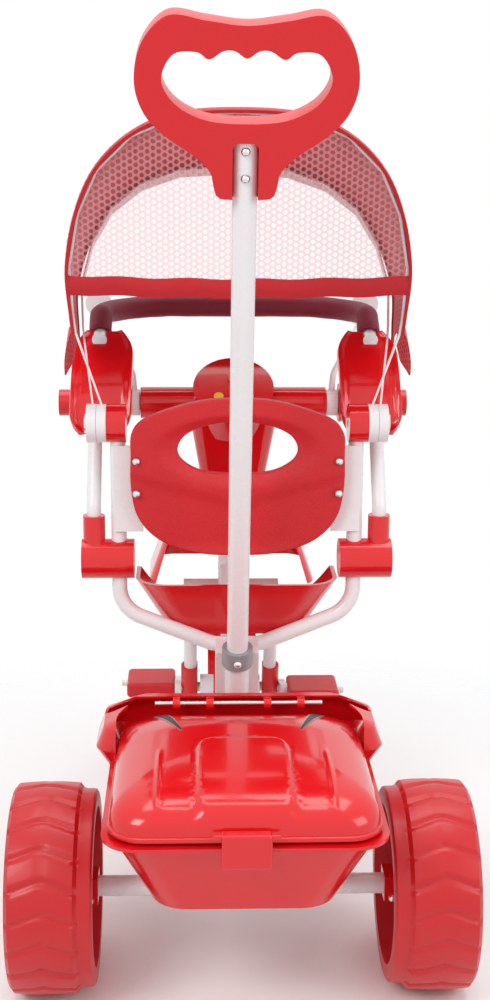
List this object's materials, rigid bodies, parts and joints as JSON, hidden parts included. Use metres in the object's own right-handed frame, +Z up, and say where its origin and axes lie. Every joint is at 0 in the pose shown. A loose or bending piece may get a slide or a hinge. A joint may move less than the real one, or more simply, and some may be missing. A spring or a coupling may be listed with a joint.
{
  "type": "children's push tricycle",
  "caption": "Child's push tricycle with parent handle, folding mesh canopy, padded guard, bucket seat, hinged luggage box, steering fork and pedals.",
  "frame": {"origin": "middle of the footprint on the ground", "axes": "+Y is the way it rolls, +X is the rider's right, +Z is up"},
  "size_m": [0.438, 0.757, 0.9124],
  "materials": {
    "white_paint": "gloss powder coat",
    "steel": "bright zinc",
    "gloss_red": "gloss moulded",
    "grained_red": "fine leather grain",
    "tyre_red": "satin moulded",
    "white_plastic": "gloss moulded",
    "grey_plastic": "satin moulded",
    "red_cloth": "open woven mesh",
    "net_cloth": "see-through net",
    "maroon_foam": "foam sleeve",
    "yellow_plastic": "gloss moulded",
    "amber_lens": "clear tinted",
    "silver_trim": "silver foil with black edge"
  },
  "bodies": {
    "frame": {"rear_axle_tube": "white_paint", "rear_axle_rod": "steel", "axle_brackets": "gloss_red", "main_tube": "white_paint", "head_tube": "white_paint", "push_bar_socket": "white_paint", "socket_collar": "grey_plastic", "seat_frame_tube": "white_paint", "seat_support": "white_paint", "seat_pan": "gloss_red", "backrest": "grained_red", "backrest_plates": "white_paint", "frame_screws": "steel", "luggage_tub": "gloss_red", "lid_hinge_pin": "steel", "canopy_hub_clamps": "gloss_red", "guard_elbows": "gloss_red", "box_supports": "white_paint"},
    "rear_wheel_left": {"rear_tyre_left": "tyre_red", "rear_rim_left": "white_plastic", "hub_cap_left": "gloss_red"},
    "rear_wheel_right": {"rear_tyre_right": "tyre_red", "rear_rim_right": "white_plastic", "hub_cap_right": "gloss_red"},
    "lid": {"luggage_lid": "gloss_red", "lid_trim": "silver_trim"},
    "latch": {"lid_latch": "gloss_red"},
    "canopy_rear": {"canopy_hub_pins": "steel", "canopy_rear_hoop": "white_paint", "canopy_rear_cloth": "red_cloth", "canopy_rear_window": "net_cloth"},
    "canopy_front": {"canopy_front_hoop": "white_paint", "canopy_front_cloth": "red_cloth"},
    "guard": {"guard_posts": "white_paint", "armrests": "gloss_red", "guard_ring": "steel", "guard_foam": "maroon_foam"},
    "steering": {"fork": "white_paint", "fork_sleeves": "gloss_red", "steerer": "white_paint", "front_mudguard": "gloss_red", "handlebar": "white_paint", "handlebar_grips": "gloss_red", "console": "gloss_red", "battery_cover": "gloss_red", "console_lens": "amber_lens", "front_cowl": "gloss_red", "toy_mirrors": "white_plastic"},
    "button_left": {"button_left": "yellow_plastic"},
    "button_right": {"button_right": "yellow_plastic"},
    "front_wheel": {"front_tyre": "tyre_red", "front_rim": "white_plastic", "crank_axle": "white_paint"},
    "pedal_left": {"pedal_left": "grained_red"},
    "pedal_right": {"pedal_right": "grained_red"},
    "push_bar": {"push_tube": "white_paint", "push_handle": "gloss_red", "handle_screws": "steel"}
  },
  "joints": [
    {"name": "rear_wheel_left_spin", "type": "hinge", "parent": "frame", "child": "rear_wheel_left", "pos_m": [0, -0.2265, 0.1], "axis": [1, 0, 0], "continuous": true},
    {"name": "rear_wheel_right_spin", "type": "hinge", "parent": "frame", "child": "rear_wheel_right", "pos_m": [0, -0.2265, 0.1], "axis": [1, 0, 0], "continuous": true},
    {"name": "lid_hinge", "type": "hinge", "parent": "frame", "child": "lid", "pos_m": [0, -0.1205, 0.246], "axis": [-1, 0, 0], "range_deg": [0, 60]},
    {"name": "latch_hinge", "type": "hinge", "parent": "lid", "child": "latch", "pos_m": [0, -0.373, 0.22067], "axis": [-1, 0, 0], "range_deg": [0, 70]},
    {"name": "canopy_recline", "type": "hinge", "parent": "frame", "child": "canopy_rear", "pos_m": [0, -0.0265, 0.518], "axis": [1, 0, 0], "range_deg": [0, 18]},
    {"name": "canopy_fold", "type": "hinge", "parent": "canopy_rear", "child": "canopy_front", "pos_m": [0, -0.0265, 0.518], "axis": [1, 0, 0], "range_deg": [0, 20]},
    {"name": "guard_lift", "type": "slide", "parent": "frame", "child": "guard", "axis": [0, 0, 1], "range_m": [0, 0.02]},
    {"name": "steering_turn", "type": "hinge", "parent": "frame", "child": "steering", "pos_m": [0, 0.19937, 0.306], "axis": [0, -0.2419, 0.9703], "range_deg": [-30, 30]},
    {"name": "button_left_press", "type": "slide", "parent": "steering", "child": "button_left", "axis": [0, 0.6157, -0.788], "range_m": [0, 0.002], "stiffness_N_per_m": 400, "springref_m": -0.001},
    {"name": "button_right_press", "type": "slide", "parent": "steering", "child": "button_right", "axis": [0, 0.6157, -0.788], "range_m": [0, 0.002], "stiffness_N_per_m": 400, "springref_m": -0.001},
    {"name": "front_wheel_spin", "type": "hinge", "parent": "steering", "child": "front_wheel", "pos_m": [0, 0.2535, 0.125], "axis": [1, 0, 0], "continuous": true},
    {"name": "pedal_left_spin", "type": "hinge", "parent": "front_wheel", "child": "pedal_left", "pos_m": [-0.101, 0.30663, 0.11076], "axis": [1, 0, 0], "continuous": true},
    {"name": "pedal_right_spin", "type": "hinge", "parent": "front_wheel", "child": "pedal_right", "pos_m": [0.101, 0.20037, 0.13924], "axis": [1, 0, 0], "continuous": true},
    {"name": "push_bar_slide", "type": "slide", "parent": "frame", "child": "push_bar", "axis": [0, -0.2924, 0.9563], "range_m": [0, 0.08]}
  ]
}
